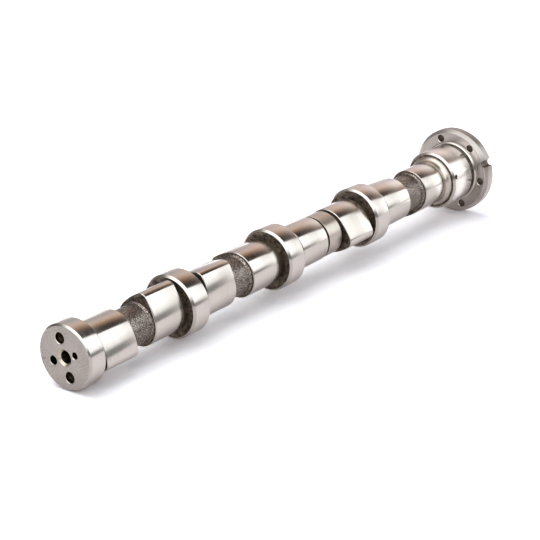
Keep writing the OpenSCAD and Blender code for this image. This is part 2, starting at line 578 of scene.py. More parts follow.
def spun(points: list[Vector], surface: Finish, steps: int) -> WorkMesh:
    """Turns one run of an outline about the Z axis.

    Args:
        points: Its points in the half section.
        surface: Its finish.
        steps: How many facets go round.

    Returns:
        The open mesh of the run.
    """
    bm = bmesh.new()
    verts = [bm.verts.new((p.x * MM, 0.0, p.y * MM)) for p in points]
    edges = [bm.edges.new(pair) for pair in zip(verts, verts[1:])]
    bmesh.ops.spin(
        bm, geom=[*verts, *edges], cent=(0, 0, 0), axis=(0, 0, 1),
        angle=math.tau, steps=steps, use_merge=True,
    )
    return painted(bm, surface)


def turned(outline: Outline, steps: int) -> WorkMesh:
    """Turns an outline about the Z axis and closes its seams and poles.

    Args:
        outline: The half section.
        steps: How many facets go round.

    Returns:
        The closed mesh.
    """
    bm = joined(spun(points, surface, steps) for points, surface in outline.spans())
    bmesh.ops.remove_doubles(bm, verts=bm.verts, dist=WELD)
    bmesh.ops.dissolve_degenerate(bm, dist=WELD / 10, edges=bm.edges)
    bmesh.ops.recalc_face_normals(bm, faces=bm.faces)
    return bm


def arc_points(centre: Vector, radius: float, start: float, end: float, step: float) -> list[Vector]:
    """Points along an arc, with its last point left out.

    Args:
        centre: Centre of the arc.
        radius: Its radius.
        start: Angle at which it begins, in radians.
        end: Angle at which it ends.
        step: Longest angle between two points, in degrees.

    Returns:
        The points in order.
    """
    count = max(1, math.ceil(abs(math.degrees(end - start)) / step))
    angles = [start + (end - start) * part / count for part in range(count)]
    return [centre + radius * Vector((math.cos(a), math.sin(a))) for a in angles]


def cone_depth(wide: float, narrow: float) -> float:
    """Depth of a sixty degree cone between two radii."""
    return (wide - narrow) / math.tan(math.radians(CENTRE_HALF_ANGLE))


@dataclass
class Workshop:
    """Builds the materials once and turns meshes into finished pieces."""

    sharp_angle: float = 12.0
    materials: dict[Finish, bpy.types.Material] = field(default_factory=dict)

    def prepare(self) -> None:
        """Builds every finish."""
        marks = MachiningMarks().build()
        for finish, recipe in FINISHES.items():
            self.materials[finish] = recipe.build(marks)
            LOG.info("finish %s", recipe.name)

    def body(self, name: str, bm: WorkMesh) -> bpy.types.Object:
        """Makes an object of a mesh, with every material in its slot.

        Args:
            name: Name of the piece.
            bm: Its mesh, which is freed.

        Returns:
            The new object.
        """
        mesh = meshed(name, bm)
        for finish in Finish:
            mesh.materials.append(self.materials[finish])
        return placed(name, mesh)

    def cutter(self, tools: Iterable[tuple[WorkMesh, Matrix]]) -> bpy.types.Object:
        """Joins a set of cutters in one object.

        Args:
            tools: The cutters and their places.

        Returns:
            The cutter object.
        """
        parts = []
        for part, place in tools:
            bmesh.ops.transform(part, matrix=place, verts=part.verts)
            parts.append(part)
        return self.body("bore_cutter", joined(parts))

    def carve(self, piece: bpy.types.Object, cutter: bpy.types.Object) -> None:
        """Cuts one closed mesh out of another.

        Args:
            piece: The piece that is cut.
            cutter: The mesh that is taken away.
        """
        cut = piece.modifiers.new("bores", "BOOLEAN")
        cut.operation = "DIFFERENCE"
        cut.solver = "EXACT"
        cut.object = cutter
        graph = bpy.context.evaluated_depsgraph_get()
        carved = bpy.data.meshes.new_from_object(piece.evaluated_get(graph))
        piece.modifiers.clear()
        piece.data = carved
        carved.name = piece.name

    def finish(self, piece: bpy.types.Object) -> bpy.types.Object:
        """Sets the shading of a piece, drops its unused slots and hands it over to the frame.

        Args:
            piece: The piece.

        Returns:
            The same piece.
        """
        bm = bmesh.new()
        bm.from_mesh(piece.data)
        limit = math.radians(self.sharp_angle)
        for face in bm.faces:
            face.smooth = True
        for edge in bm.edges:
            edge.smooth = len(edge.link_faces) == 2 and edge.calc_face_angle(0.0) < limit
        used = sorted({face.material_index for face in bm.faces})
        for face in bm.faces:
            face.material_index = used.index(face.material_index)
        bm.to_mesh(piece.data)
        bm.free()
        kept = [piece.data.materials[index] for index in used]
        indices = [polygon.material_index for polygon in piece.data.polygons]
        piece.data.materials.clear()
        for material in kept:
            piece.data.materials.append(material)
        piece.data.polygons.foreach_set("material_index", indices)
        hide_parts(NODE)
        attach(piece, BODY)
        LOG.info("piece %s: %d faces, %d finishes", piece.name, len(piece.data.polygons), len(used))
        return piece


@dataclass(frozen=True)
class Bearings:
    """Sizes and stations of the five bearing journals."""

    radius: float = 20.0
    width: float = 15.2
    end_width: float = 13.1
    flange_width: float = 22.5
    bay: float = 92.5
    bays: int = 4
    first_top: float = 34.0
    length: float = 400.0
    chamfer: float = 1.3
    end_chamfer: float = 1.1

    def top(self, bay: int) -> float:
        """Height of the upper side of the bearing that opens a bay, counted from the free end."""
        return self.first_top + (self.bays - bay) * self.bay


@dataclass(frozen=True)
class Lobes:
    """Section, stations and timing of the eight lobes, and the meshes made from them."""

    base: float = 14.7
    nose: float = 5.2
    flank: float = 42.0
    first_reach: float = 18.6
    second_reach: float = 19.8
    widths: tuple[float, ...] = (26.0, 25.0, 26.0, 25.0, 26.0, 25.0, 26.0, 23.2)
    offsets: tuple[float, ...] = (20.2, 64.3, 19.3, 62.4, 20.2, 63.8, 20.6, 65.4)
    timing: float = -105.0
    split: float = 101.5
    firing: tuple[int, ...] = (0, 3, 1, 2)
    edge: float = 0.7
    edge_segments: int = 4
    nose_step: float = 4.0
    flank_step: float = 1.0
    base_step: float = 2.5
    level: float = 0.98
    upright: float = 0.02
    bearings: Bearings = Bearings()

    @property
    def count(self) -> int:
        """How many lobes there are."""
        return len(self.widths)

    def bottom(self, number: int) -> float:
        """Height of the lower face of a lobe, counted from 1."""
        return self.ceiling(number) - self.widths[number - 1]

    def ceiling(self, number: int) -> float:
        """Height of the upper face of a lobe, counted from 1."""
        return self.bearings.top((number - 1) // 2) - self.offsets[number - 1]

    def angle(self, number: int) -> float:
        """Angle of the nose of a lobe about the axis, in degrees."""
        second = self.timing - 90 * self.firing[(number - 1) // 2]
        return second if number % 2 == 0 else second - self.split

    def section(self, reach: float) -> list[Vector]:
        """Outline of a lobe with its nose along +X: nose arc, flank arc, base arc and flank arc.

        Args:
            reach: Distance from the axis to the tip of the nose.

        Returns:
            The points of the outline, anticlockwise.
        """
        to_base = self.flank - self.base
        to_nose = self.flank - self.nose
        nose_at = reach - self.nose
        flank_x = (to_base**2 - to_nose**2 + nose_at**2) / (2 * nose_at)
        flank_y = math.sqrt(to_base**2 - flank_x**2)
        base_tangent = math.atan2(flank_y, -flank_x)
        nose_tangent = math.atan2(flank_y, nose_at - flank_x)
        points = []
        for hub, radius, start, end, step in (
            ((nose_at, 0), self.nose, -nose_tangent, nose_tangent, self.nose_step),
            ((flank_x, -flank_y), self.flank, nose_tangent, base_tangent, self.flank_step),
            ((0, 0), self.base, base_tangent, math.tau - base_tangent, self.base_step),
            ((flank_x, flank_y), self.flank, -base_tangent, -nose_tangent, self.flank_step),
        ):
            points += arc_points(Vector(hub), radius, start, end, step)
        return points

    def mesh(self, number: int) -> WorkMesh:
        """Extrudes one lobe and breaks its edges.

        Args:
            number: Number of the lobe, 1 being at the free end.

        Returns:
            The mesh of the lobe, in place.
        """
        reach = self.first_reach if number % 2 else self.second_reach
        bm = prism(self.section(reach), 0.0, self.widths[number - 1])
        rims = [e for e in bm.edges if abs(e.verts[0].co.z - e.verts[1].co.z) < WELD]
        broken(bm, rims, self.edge, self.edge_segments)
        for face in bm.faces:
            lean = face.normal.z
            edge = Finish.EDGE if lean > 0 else Finish.REAR_EDGE
            surface = Finish.CAM if abs(lean) < self.upright else edge
            face.material_index = (Finish.ROUGH_FACE if abs(lean) > self.level else surface).value
        turn = Matrix.Rotation(math.radians(self.angle(number)), 4, "Z")
        bmesh.ops.transform(bm, matrix=turn, verts=bm.verts)
        bmesh.ops.translate(bm, verts=bm.verts, vec=(0, 0, self.bottom(number) * MM))
        return bm


@dataclass(frozen=True)
class Flange:
    """Flange, thrust shoulder and grinding groove at the drive end."""

    radius: float = 29.5
    thickness: float = 8.0
    bevel: float = 2.1
    edge: float = 0.6
    ease: float = 0.15
    bevel_ease: float = 0.5
    shoulder: float = 21.2
    shoulder_height: float = 1.6
    shoulder_edge: float = 0.8
    shoulder_ease: float = 0.2
    groove_height: float = 1.9
    groove_depth: float = 0.8
    hole_at: float = 23.9
    hole_radius: float = 2.5
    hole_angle: float = -68.0
    holes: int = 6
    notch_angle: float = -160.0
    notch_width: float = 5.0
    notch_bottom: float = 26.4

    def draw(self, line: Outline, journal: float) -> None:
        """Draws the flange and what leads up to its journal.

        Args:
            line: The outline, which has to stand at the axis.
            journal: Radius of the journal.
        """
        top = self.thickness + self.shoulder_height
        floor = journal - self.groove_depth
        line.to(self.radius - self.edge, 0.0, Finish.EDGE)
        line.to(self.radius, self.edge, Finish.RIM)
        line.to(self.radius, self.thickness - self.bevel, Finish.RIM, self.ease)
        line.to(self.radius - self.bevel, self.thickness, Finish.FLANGE_FACE, self.bevel_ease)
        line.to(self.shoulder, self.thickness, Finish.SATIN)
        line.to(self.shoulder, top - self.shoulder_edge, Finish.EDGE, self.shoulder_ease)
        line.to(self.shoulder - self.shoulder_edge, top, Finish.EDGE, self.shoulder_ease)
        line.to(floor, top, Finish.ROUGH_FACE)
        line.to(floor, top + self.groove_height, Finish.RELIEF)


@dataclass(frozen=True)
class Forging:
    """Radii of the shaft between the journals and lobes."""

    neck: float = 12.1
    blend: float = 2.3
    overlap: float = 0.35
    relief: float = 13.6
    ring: float = 14.2
    ring_gap: float = 2.0
    ring_width: float = 12.8
    flare_root: float = 14.5
    flare_top: float = 18.3
    flare_rough_end: float = 252.0
    ring_bay: int = 2
    hidden: float = 1.0


@dataclass
class Shaft:
    """Turned parts: flange end, middle and free end, which meet inside the last and the first lobe."""

    bearings: Bearings = Bearings()
    lobes: Lobes = Lobes()
    flange: Flange = Flange()
    forging: Forging = Forging()
    joint: float = 12.0
    steps: int = 192
    ease: float = 0.25
    end_ease: float = 0.2

    def journal(
        self, line: Outline, low: float, high: float, top_chamfer: float, barrel: Finish = Finish.JOURNAL,
    ) -> None:
        """Draws a journal with its chamfers.

        Args:
            line: The outline so far.
            low: Height of its lower face.
            high: Height of its upper face.
            top_chamfer: Chamfer of the upper edge.
            barrel: Finish of the ground barrel.
        """
        radius, chamfer = self.bearings.radius, self.bearings.chamfer
        line.to(radius - chamfer, low, Finish.EDGE)
        line.to(radius, low + chamfer, barrel, self.ease)
        line.to(radius, high - top_chamfer, Finish.EDGE, self.ease)

    def neck(self, line: Outline, low: float, high: float) -> None:
        """Draws a forged neck that swells into the lobes at both ends.

        Args:
            line: The outline so far.
            low: Height of the lobe face below.
            high: Height of the lobe face above.
        """
        forging = self.forging
        rim = forging.neck + forging.blend
        start, end = low - forging.overlap, high + forging.overlap
        line.hollow(Vector((rim, start + forging.blend)), forging.blend, 270, 180, Finish.NECK)
        line.hollow(Vector((rim, end - forging.blend)), forging.blend, 180, 90, Finish.NECK)
        line.to(forging.neck, end, Finish.NECK)

    def flange_end(self) -> Outline:
        """Draws the flange, its journal and the flare, as far as the inside of the last lobe.

        Returns:
            The closed outline.
        """
        bearings, lobes, forging = self.bearings, self.lobes, self.forging
        line = Outline().to(0.0, 0.0, Finish.FLANGE_FACE)
        self.flange.draw(line, bearings.radius)
        low = bearings.first_top - bearings.flange_width
        self.journal(line, low, bearings.first_top, bearings.chamfer, Finish.FLANGE_JOURNAL)
        rise = forging.flare_top - forging.flare_root
        line.to(bearings.radius - bearings.chamfer, bearings.first_top, Finish.ROUGH_FACE)
        hub = Vector((forging.flare_top, bearings.first_top + rise))
        line.hollow(hub, rise, 270, forging.flare_rough_end, Finish.ROUGH_FACE)
        line.hollow(hub, rise, forging.flare_rough_end, 180, Finish.SATIN)
        inside = lobes.bottom(lobes.count) + self.joint
        return line.to(forging.flare_root, inside, Finish.NECK).to(0.0, inside, Finish.NECK)

    def middle(self) -> Outline:
        """Draws the shaft between the inside of the last lobe and the inside of the first one.

        Returns:
            The closed outline.
        """
        bearings, lobes, forging = self.bearings, self.lobes, self.forging
        low = lobes.bottom(lobes.count) + self.joint / 2
        line = Outline().to(0.0, low, Finish.NECK).to(forging.neck, low, Finish.NECK)
        for bay in reversed(range(bearings.bays)):
            first, second = 2 * bay + 1, 2 * bay + 2
            draw = self.ring if bay == forging.ring_bay else self.neck
            draw(line, lobes.ceiling(second), lobes.bottom(first))
            if bay:
                inside = lobes.ceiling(first) - forging.hidden
                beyond = lobes.bottom(second - 2) + forging.hidden
                top = bearings.top(bay)
                line.to(forging.neck, inside, Finish.RELIEF).to(forging.relief, inside, Finish.RELIEF)
                line.to(forging.relief, top - bearings.width, Finish.ROUGH_FACE)
                self.journal(line, top - bearings.width, top, bearings.chamfer)
                line.to(bearings.radius - bearings.chamfer, top, Finish.ROUGH_FACE)
                line.to(forging.relief, top, Finish.RELIEF)
                line.to(forging.relief, beyond, Finish.NECK).to(forging.neck, beyond, Finish.NECK)
        high = lobes.bottom(1) + self.joint
        return line.to(forging.neck, high, Finish.NECK).to(0.0, high, Finish.NECK)

    def free_end(self) -> Outline:
        """Draws the journal of the free end, from the inside of the first lobe.

        Returns:
            The closed outline.
        """
        bearings, forging = self.bearings, self.forging
        low = self.lobes.bottom(1) + self.joint / 2
        start = bearings.length - bearings.end_width
        line = Outline().to(0.0, low, Finish.RELIEF).to(forging.relief, low, Finish.RELIEF)
        line.to(forging.relief, start, Finish.ROUGH_FACE)
        self.journal(line, start, bearings.length, bearings.end_chamfer)
        line.to(bearings.radius - bearings.end_chamfer, bearings.length, Finish.END_FACE, self.end_ease)
        return line.to(0.0, bearings.length, Finish.END_FACE)

    def ring(self, line: Outline, low: float, high: float) -> None:
        """Draws the satin ring that stands between two lobes.

        Args:
            line: The outline so far.
            low: Height of the lobe face below.
            high: Height of the lobe face above.
        """
        forging = self.forging
        top = high - forging.ring_gap
        line.to(forging.neck, low, Finish.NECK)
        line.to(forging.neck, top - forging.ring_width, Finish.ROUGH_FACE)
        line.to(forging.ring, top - forging.ring_width, Finish.SATIN, self.ease)
        line.to(forging.ring, top, Finish.ROUGH_FACE, self.ease)
        line.to(forging.neck, top, Finish.NECK)


@dataclass(frozen=True)
class Thread:
    """Shape of the threads cut in the free end."""

    depth: float = 0.45
    pitch: float = 1.25
    start: float = 1.4
    facets: int = 8

    def offset(self, below: float, angle: float, length: float) -> float:
        """How far the thread cuts outside its core.

        Args:
            below: Distance below the face.
            angle: Angle about the hole's axis, in radians.
            length: How far down the thread runs.

        Returns:
            The extra radius.
        """
        run = min(below - self.start, length - below)
        phase = (below / self.pitch + angle / math.tau) % 1.0
        return self.depth * (1 - abs(2 * phase - 1)) * max(0.0, min(1.0, run / self.pitch))


@dataclass
class Bores:
    """Cutters for every hole, the rim notch and the timing tick."""

    bearings: Bearings = Bearings()
    flange: Flange = Flange()
    thread: Thread = Thread()
    clear: float = 1.5
    mouth: float = 0.3
    centre: float = 4.8
    centre_mouth: float = 1.6
    centre_edge: float = 0.95
    centre_lip: float = 0.25
    pilot: float = 2.0
    pilot_depth: float = 13.0
    thread_core: float = 3.4
    thread_at: float = 11.7
    thread_angles: tuple[float, float] = (-74.8, 105.2)
    thread_depth: float = 20.0
    thread_tip: float = 1.6
    dowels: tuple[tuple[float, float, float, float], ...] = (
        (2.7, 9.7, 22.4, 9.0), (2.1, 8.4, -157.8, 7.0),
    )
    dowel_tip: float = 0.8
    tip: float = 0.5
    oil: float = 1.4
    oil_mouth: float = 0.45
    oil_angle: float = -163.4
    oil_at: float = 3.2
    oil_depth: float = 9.0
    rear_centre: float = 3.2
    rear_depth: float = 10.0
    tick_at: float = 16.9
    tick_angle: float = 14.5
    tick_size: Triple = (3.0, 0.4, 0.5)
    tick_edge: float = 0.12
    tick_segments: int = 2
    notch_step: float = 7.5
    notch_reach: float = 4.0
    steps: int = 48

    def drill(
        self, radius: float, depth: float, mouth: float, tip: float, rings: int = 1,
        wall: Finish = Finish.BORE,
    ) -> WorkMesh:
        """Makes a blind bore that opens upwards at z = 0.

        Args:
            radius: Radius of the bore.
            depth: Depth of its straight wall.
            mouth: Width of the chamfer at its mouth.
            tip: Depth of the drill point under the wall.
            rings: Into how many rings the wall is divided.
            wall: Finish of the wall and the drill point.

        Returns:
            The cutter.
        """
        line = Outline().to(0.0, -depth - tip, wall)
        for part in range(rings):
            line.to(radius, -depth + (depth - mouth) * part / rings, wall)
        line.to(radius, -mouth, Finish.BORE_MOUTH)
        line.to(radius + mouth, 0.0, Finish.BORE_MOUTH)
        line.to(radius + mouth, self.clear, Finish.BORE_MOUTH).to(0.0, self.clear, Finish.BORE_MOUTH)
        return turned(line, self.steps)

    def threaded(self) -> WorkMesh:
        """Makes the cutter of a threaded hole, with a real helix.

        Returns:
            The cutter.
        """
        rings = math.ceil(self.thread_depth / self.thread.pitch * self.thread.facets)
        bm = self.drill(self.thread_core, self.thread_depth, self.mouth, self.thread_tip, rings)
        wall = self.thread_depth - self.mouth
        for vert in bm.verts:
            below = -vert.co.z / MM
            if self.mouth < below < wall:
                angle = math.atan2(vert.co.y, vert.co.x)
                extra = self.thread.offset(below, angle, self.thread_depth)
                vert.co.xy *= 1 + extra * MM / math.hypot(vert.co.x, vert.co.y)
        return bm

    def lathe_centre(self) -> WorkMesh:
        """Makes the centre hole of the free end: straight mouth, sixty degree cone and pilot drilling.

        Returns:
            The cutter.
        """
        waist, lip = self.centre - self.centre_edge, self.centre + self.centre_lip
        cone = cone_depth(self.centre, self.pilot)
        line = Outline().to(0.0, -self.pilot_depth, Finish.BORE)
        line.to(self.pilot, -self.pilot_depth, Finish.BORE)
        line.to(self.pilot, -self.centre_mouth - cone, Finish.CENTRE)
        line.to(waist, -self.centre_mouth, Finish.CENTRE)
        line.to(waist, -self.centre_edge - self.centre_lip, Finish.BORE_MOUTH)
        line.to(lip, 0.0, Finish.BORE_MOUTH)
        line.to(lip, self.clear, Finish.BORE).to(0.0, self.clear, Finish.BORE)
        return turned(line, self.steps * 2)

    def rear_hole(self) -> WorkMesh:
        """Makes the centre hole of the rear face, opening upwards.

        Returns:
            The cutter.
        """
        small = self.rear_centre / 2
        cone = cone_depth(self.rear_centre, small)
        line = Outline().to(0.0, -self.rear_depth, Finish.BORE).to(small, -self.rear_depth, Finish.BORE)
        line.to(small, -cone, Finish.BORE_MOUTH).to(self.rear_centre, 0.0, Finish.BORE_MOUTH)
        line.to(self.rear_centre, self.clear, Finish.BORE).to(0.0, self.clear, Finish.BORE)
        return turned(line, self.steps)

    def notch(self) -> WorkMesh:
        """Makes the round-ended notch in the rim of the flange.

        Returns:
            The cutter.
        """
        radius, reach = self.flange.notch_width / 2, self.notch_reach
        hub = Vector((self.flange.notch_bottom + radius, 0))
        points = arc_points(hub, radius, math.radians(90), math.radians(270), self.notch_step)
        points += [hub + Vector(corner) * radius for corner in ((0, -1), (reach, -1), (reach, 1))]
        bm = prism(points, -self.clear, self.flange.thickness + 2 * self.clear)
        return painted(bm, Finish.ROUGH_FACE)

    def tick(self) -> WorkMesh:
        """Makes the scriber that cuts one plain timing line in the end face.

        Returns:
            The cutter.
        """
        bm = bmesh.new()
        bmesh.ops.create_cube(bm, size=MM)
        bmesh.ops.scale(bm, vec=self.tick_size, verts=bm.verts)
        broken(bm, bm.edges, self.tick_edge, self.tick_segments)
        return painted(bm, Finish.ROUGH_FACE)

    def end_set(self) -> Iterable[tuple[WorkMesh, Matrix]]:
        """The cutters of the free end with their places.

        Yields:
            The cutter's mesh and the matrix that carries it to the shaft.
        """
        end = self.bearings.length
        yield self.lathe_centre(), at(0.0, 0.0, end)
        for angle in self.thread_angles:
            yield self.threaded(), at(self.thread_at, angle, end)
        for radius, distance, angle, depth in self.dowels:
            yield self.drill(radius, depth, self.mouth, self.dowel_tip), at(distance, angle, end)
        yield self.tick(), at(self.tick_at, self.tick_angle, end)

    def flange_set(self) -> Iterable[tuple[WorkMesh, Matrix]]:
        """The cutters of the flange end with their places.

        Yields:
            The cutter's mesh and the matrix that carries it to the shaft.
        """
        flange = self.flange
        for number in range(flange.holes):
            angle = flange.hole_angle + number * 360 / flange.holes
            hole = self.drill(flange.hole_radius, flange.thickness + self.clear, self.mouth, self.tip)
            yield hole, at(flange.hole_at, angle, flange.thickness)
        yield self.notch(), Matrix.Rotation(math.radians(flange.notch_angle), 4, "Z")
        tipped = Matrix.Rotation(math.radians(90), 4, "Y")
        spot = at(self.bearings.radius, self.oil_angle, self.bearings.first_top - self.oil_at)
        oil = self.drill(self.oil, self.oil_depth, self.oil_mouth, self.tip, wall=Finish.SATIN)
        yield oil, spot @ tipped
        yield self.rear_hole(), Matrix.Rotation(math.pi, 4, "X")


def at(distance: float, angle: float, height: float) -> Matrix:
    """Matrix of a place round the axis, with X pointing outwards."""
    return Matrix.Rotation(math.radians(angle), 4, "Z") @ Matrix.Translation((distance * MM, 0, height * MM))


@dataclass
class Camshaft:
    """The whole camshaft: the turned parts of the shaft and its eight lobes."""

    shaft: Shaft = field(default_factory=Shaft)
    lobes: Lobes = Lobes()
    bores: Bores = field(default_factory=Bores)

    def build(self, shop: Workshop) -> list[bpy.types.Object]:
        """Builds every piece.

        Args:
            shop: The workshop with the materials.

        Returns:
            The finished pieces.
        """
        shaft, bores = self.shaft, self.bores
        drills = shop.cutter(bores.end_set())
        flange_tools = shop.cutter(bores.flange_set())
        pieces = [shop.finish(shop.body("middle_shaft", turned(shaft.middle(), shaft.steps)))]
        for name, outline, tools in (
            ("flange_end", shaft.flange_end(), flange_tools),
            ("free_end", shaft.free_end(), drills),
        ):
            part = shop.body(name, turned(outline, shaft.steps))
            shop.carve(part, tools)
            pieces.append(shop.finish(part))
        for number in range(1, self.lobes.count + 1):
            lobe = shop.body(f"lobe_{number}", self.lobes.mesh(number))
            if number == 1:
                shop.carve(lobe, drills)
            pieces.append(shop.finish(lobe))
        for tools in (drills, flange_tools):
            bpy.data.objects.remove(tools)
        return pieces


@dataclass(frozen=True)
class LyingFrame:
    """The frame of the studio: along the shaft, to its open side and up from the table.

    It is found from the two points of the shaft that touch the table, given in millimetres: one on the rim of
    the flange and one on the free end's journal.
    """

    rim: float = 29.5
    rim_height: float = 6.3
    tip: float = 20.0
    tip_height: float = 398.9
    middle: float = 200.0

    @property
    def up(self) -> Vector:
        """Direction up from the table."""
        return Vector((0.0, -(self.tip_height - self.rim_height), self.tip - self.rim)).normalized()

    @property
    def side(self) -> Vector:
        """Direction across the table to the open side."""
        return Vector((-1.0, 0.0, 0.0))

    @property
    def along(self) -> Vector:
        """Direction along the table to the free end."""
        return self.side.cross(self.up).normalized()

    @property
    def ground(self) -> Vector:
        """Point of the table under the middle of the shaft.

        Returns:
            The point, in metres.
        """
        share = (self.middle - self.rim_height) / (self.tip_height - self.rim_height)
        drop = self.rim + (self.tip - self.rim) * share
        return Vector((0.0, drop, self.middle)) * MM

    def spot(self, along: float, side: float, up: float) -> Vector:
        """A point of the studio, in metres from the point under the middle of the shaft."""
        return self.ground + self.along * along + self.side * side + self.up * up

    def frame(self) -> Matrix:
        """Matrix whose X, Y and Z are along, side and up, from the point under the shaft."""
        turn = Matrix((self.along, self.side, self.up)).transposed().to_4x4()
        return Matrix.Translation(self.ground) @ turn


# Tones of the front of the glowing card round the shaft, painted reflections for the steel, by degrees up
# from its edge on the open side
FRONT_BANDS: tuple[tuple[float, Colour], ...] = (
    (-3.0, (0.27, 0.265, 0.26)), (9.0, (0.27, 0.265, 0.26)), (14.0, (1.25, 1.25, 1.24)),
    (24.0, (1.7, 1.7, 1.7)), (61.5, (1.7, 1.72, 1.74)), (62.5, (0.045, 0.038, 0.035)),
    (78.0, (0.03, 0.022, 0.018)), (89.0, (0.13, 0.08, 0.058)), (100.0, (0.38, 0.245, 0.165)),
    (112.0, (0.68, 0.5, 0.36)), (124.0, (0.74, 0.61, 0.54)), (136.0, (0.62, 0.555, 0.53)),
    (148.0, (0.52, 0.49, 0.47)), (160.0, (0.53, 0.49, 0.48)), (172.0, (0.62, 0.59, 0.59)),
    (184.0, (0.84, 0.82, 0.81)), (200.0, (1.0, 1.0, 1.0)),
)


@dataclass
class Studio:
    """Table, card round the shaft, lamp, world and camera.

    The bands are the tones of the glowing card round the shaft at some stations along it, painted reflections
    which only the steel shows. The painted bright patch on the table lies beside the flange and shows only in
    reflections, and each of its borders is given by where it begins to show and where it shows in full.
    The camera's eye is in millimetres, and all else is in metres.
    """

    lying: LyingFrame = LyingFrame()
    floor_half: float = 3.0
    floor_segments: int = 8
    floor_tone: Colour = (1.44, 1.45, 1.485)
    floor_gleam: Colour = (1.0, 0.945, 0.93)
    # Painted light: a bright patch on the table beside the flange, which only reflections show, and its
    # borders
    painted_light_tone: Colour = (1.75, 1.7, 1.68)
    painted_light_slant: float = 1.1
    painted_light_edge: tuple[float, float] = (-0.158, -0.17)
    painted_light_near: tuple[float, float] = (-0.183, -0.193)
    painted_light_far_side: tuple[float, float] = (0.24, 0.14)
    sink: float = 0.00005
    ambient: float = 0.6
    ambient_tint: Colour = (0.96, 0.965, 1.0)
    lamp_spot: Triple = (0.1, -0.5, 1.6)
    lamp_size: float = 1.8
    lamp_power: float = 16.5
    lens: float = 128.6
    film: float = 36.0
    clip: tuple[float, float] = (0.05, 50.0)
    eye: Triple = (-696.45, -438.43, 1093.97)
    forward: Triple = (0.57709, 0.3696, -0.72826)
    right: Triple = (-0.78831, 0.0191, -0.61498)
    surround_radius: float = 0.9
    surround_span: tuple[float, float] = (-3.0, 205.0)
    surround_along: tuple[float, float] = (-4.0, 1.4)
    surround_fade: float = 0.15
    surround_steps: int = 64
    # Painted reflections: tones of the glowing card round the shaft, by station along it
    bands: tuple[tuple[float, tuple[tuple[float, Colour], ...]], ...] = (
        (0.2, (
            (-3.0, (0.34, 0.32, 0.31)), (6.0, (0.24, 0.22, 0.21)), (15.0, (0.26, 0.24, 0.23)),
            (30.0, (1.6, 1.6, 1.6)), (42.0, (2.4, 2.4, 2.4)), (118.0, (2.3, 2.3, 2.28)),
            (140.0, (0.4, 0.36, 0.34)), (156.0, (0.18, 0.155, 0.14)), (180.0, (0.22, 0.195, 0.18)),
            (200.0, (0.5, 0.48, 0.47)),
        )),
        (-0.28, FRONT_BANDS),
        (-0.665, FRONT_BANDS),
        (-1.02, (
            (-3.0, (0.6, 0.57, 0.55)), (9.0, (0.65, 0.62, 0.6)), (18.0, (1.05, 1.03, 1.0)),
            (30.0, (1.3, 1.3, 1.28)), (60.0, (0.95, 0.95, 0.93)), (62.0, (0.16, 0.12, 0.1)),
            (78.0, (0.1, 0.07, 0.056)), (89.0, (0.3, 0.2, 0.165)), (100.0, (0.54, 0.385, 0.31)),
            (112.0, (0.81, 0.61, 0.53)), (124.0, (0.91, 0.69, 0.61)), (136.0, (0.83, 0.66, 0.58)),
            (148.0, (0.8, 0.66, 0.62)), (160.0, (0.76, 0.65, 0.64)), (172.0, (0.73, 0.66, 0.65)),
            (184.0, (0.84, 0.8, 0.79)), (200.0, (1.0, 1.0, 1.0)),
        )),
        (-1.34, (
            (-3.0, (1.7, 1.7, 1.67)), (9.0, (1.7, 1.7, 1.67)), (14.0, (1.7, 1.7, 1.67)),
            (24.0, (1.7, 1.7, 1.7)), (57.0, (1.7, 1.7, 1.7)), (59.0, (0.33, 0.24, 0.21)),
            (66.0, (0.35, 0.26, 0.23)), (77.0, (0.7, 0.6, 0.5)), (89.0, (1.1, 0.94, 0.87)),
            (100.0, (1.25, 1.18, 1.12)), (112.0, (1.33, 1.24, 1.19)), (124.0, (1.2, 1.15, 1.13)),
            (136.0, (1.07, 0.98, 1.03)), (148.0, (0.93, 0.84, 0.92)), (160.0, (0.78, 0.71, 0.78)),
            (172.0, (0.7, 0.65, 0.68)), (200.0, (1.0, 1.0, 1.0)),
        )),
    )

    def table(self) -> bpy.types.Object:
        """Lays the pale table under the shaft. It can't be seen from below.

        Returns:
            The table.
        """
        bm = bmesh.new()
        cells = self.floor_segments
        bmesh.ops.create_grid(bm, x_segments=cells, y_segments=cells, size=self.floor_half)
        bmesh.ops.transform(bm, matrix=self.lying.frame(), verts=bm.verts)
        bmesh.ops.translate(bm, verts=bm.verts, vec=-self.lying.up * self.sink)
        material, bench = blank_material("pale_table")
        # The painted bright patch beside the flange shows only in reflections
        gleam = bench.blend(self.painted_flange_light(bench), self.floor_gleam, self.painted_light_tone)
        tone = bench.blend(bench.light_path("Is Camera Ray"), gleam, self.floor_tone)
        one_sided = bench.node("ShaderNodeMixShader", {
            0: bench.node("ShaderNodeNewGeometry").outputs["Backfacing"],
            1: bench.node("ShaderNodeBsdfDiffuse", {"Color": tone}).outputs[0],
            2: bench.node("ShaderNodeBsdfTransparent").outputs[0],
        })
        bench.show(one_sided.outputs[0])
        table = self.sheet("table", bm, material)
        return table

    def sheet(self, name: str, bm: WorkMesh, material: bpy.types.Material) -> bpy.types.Object:
        """Puts a sheet of the studio in the scene.

        Args:
            name: Name of the sheet.
            bm: Its mesh, which is freed.
            material: What it is made of.

        Returns:
            The sheet.
        """
        mesh = meshed(name, bm)
        mesh.materials.append(material)
        return placed(name, mesh)

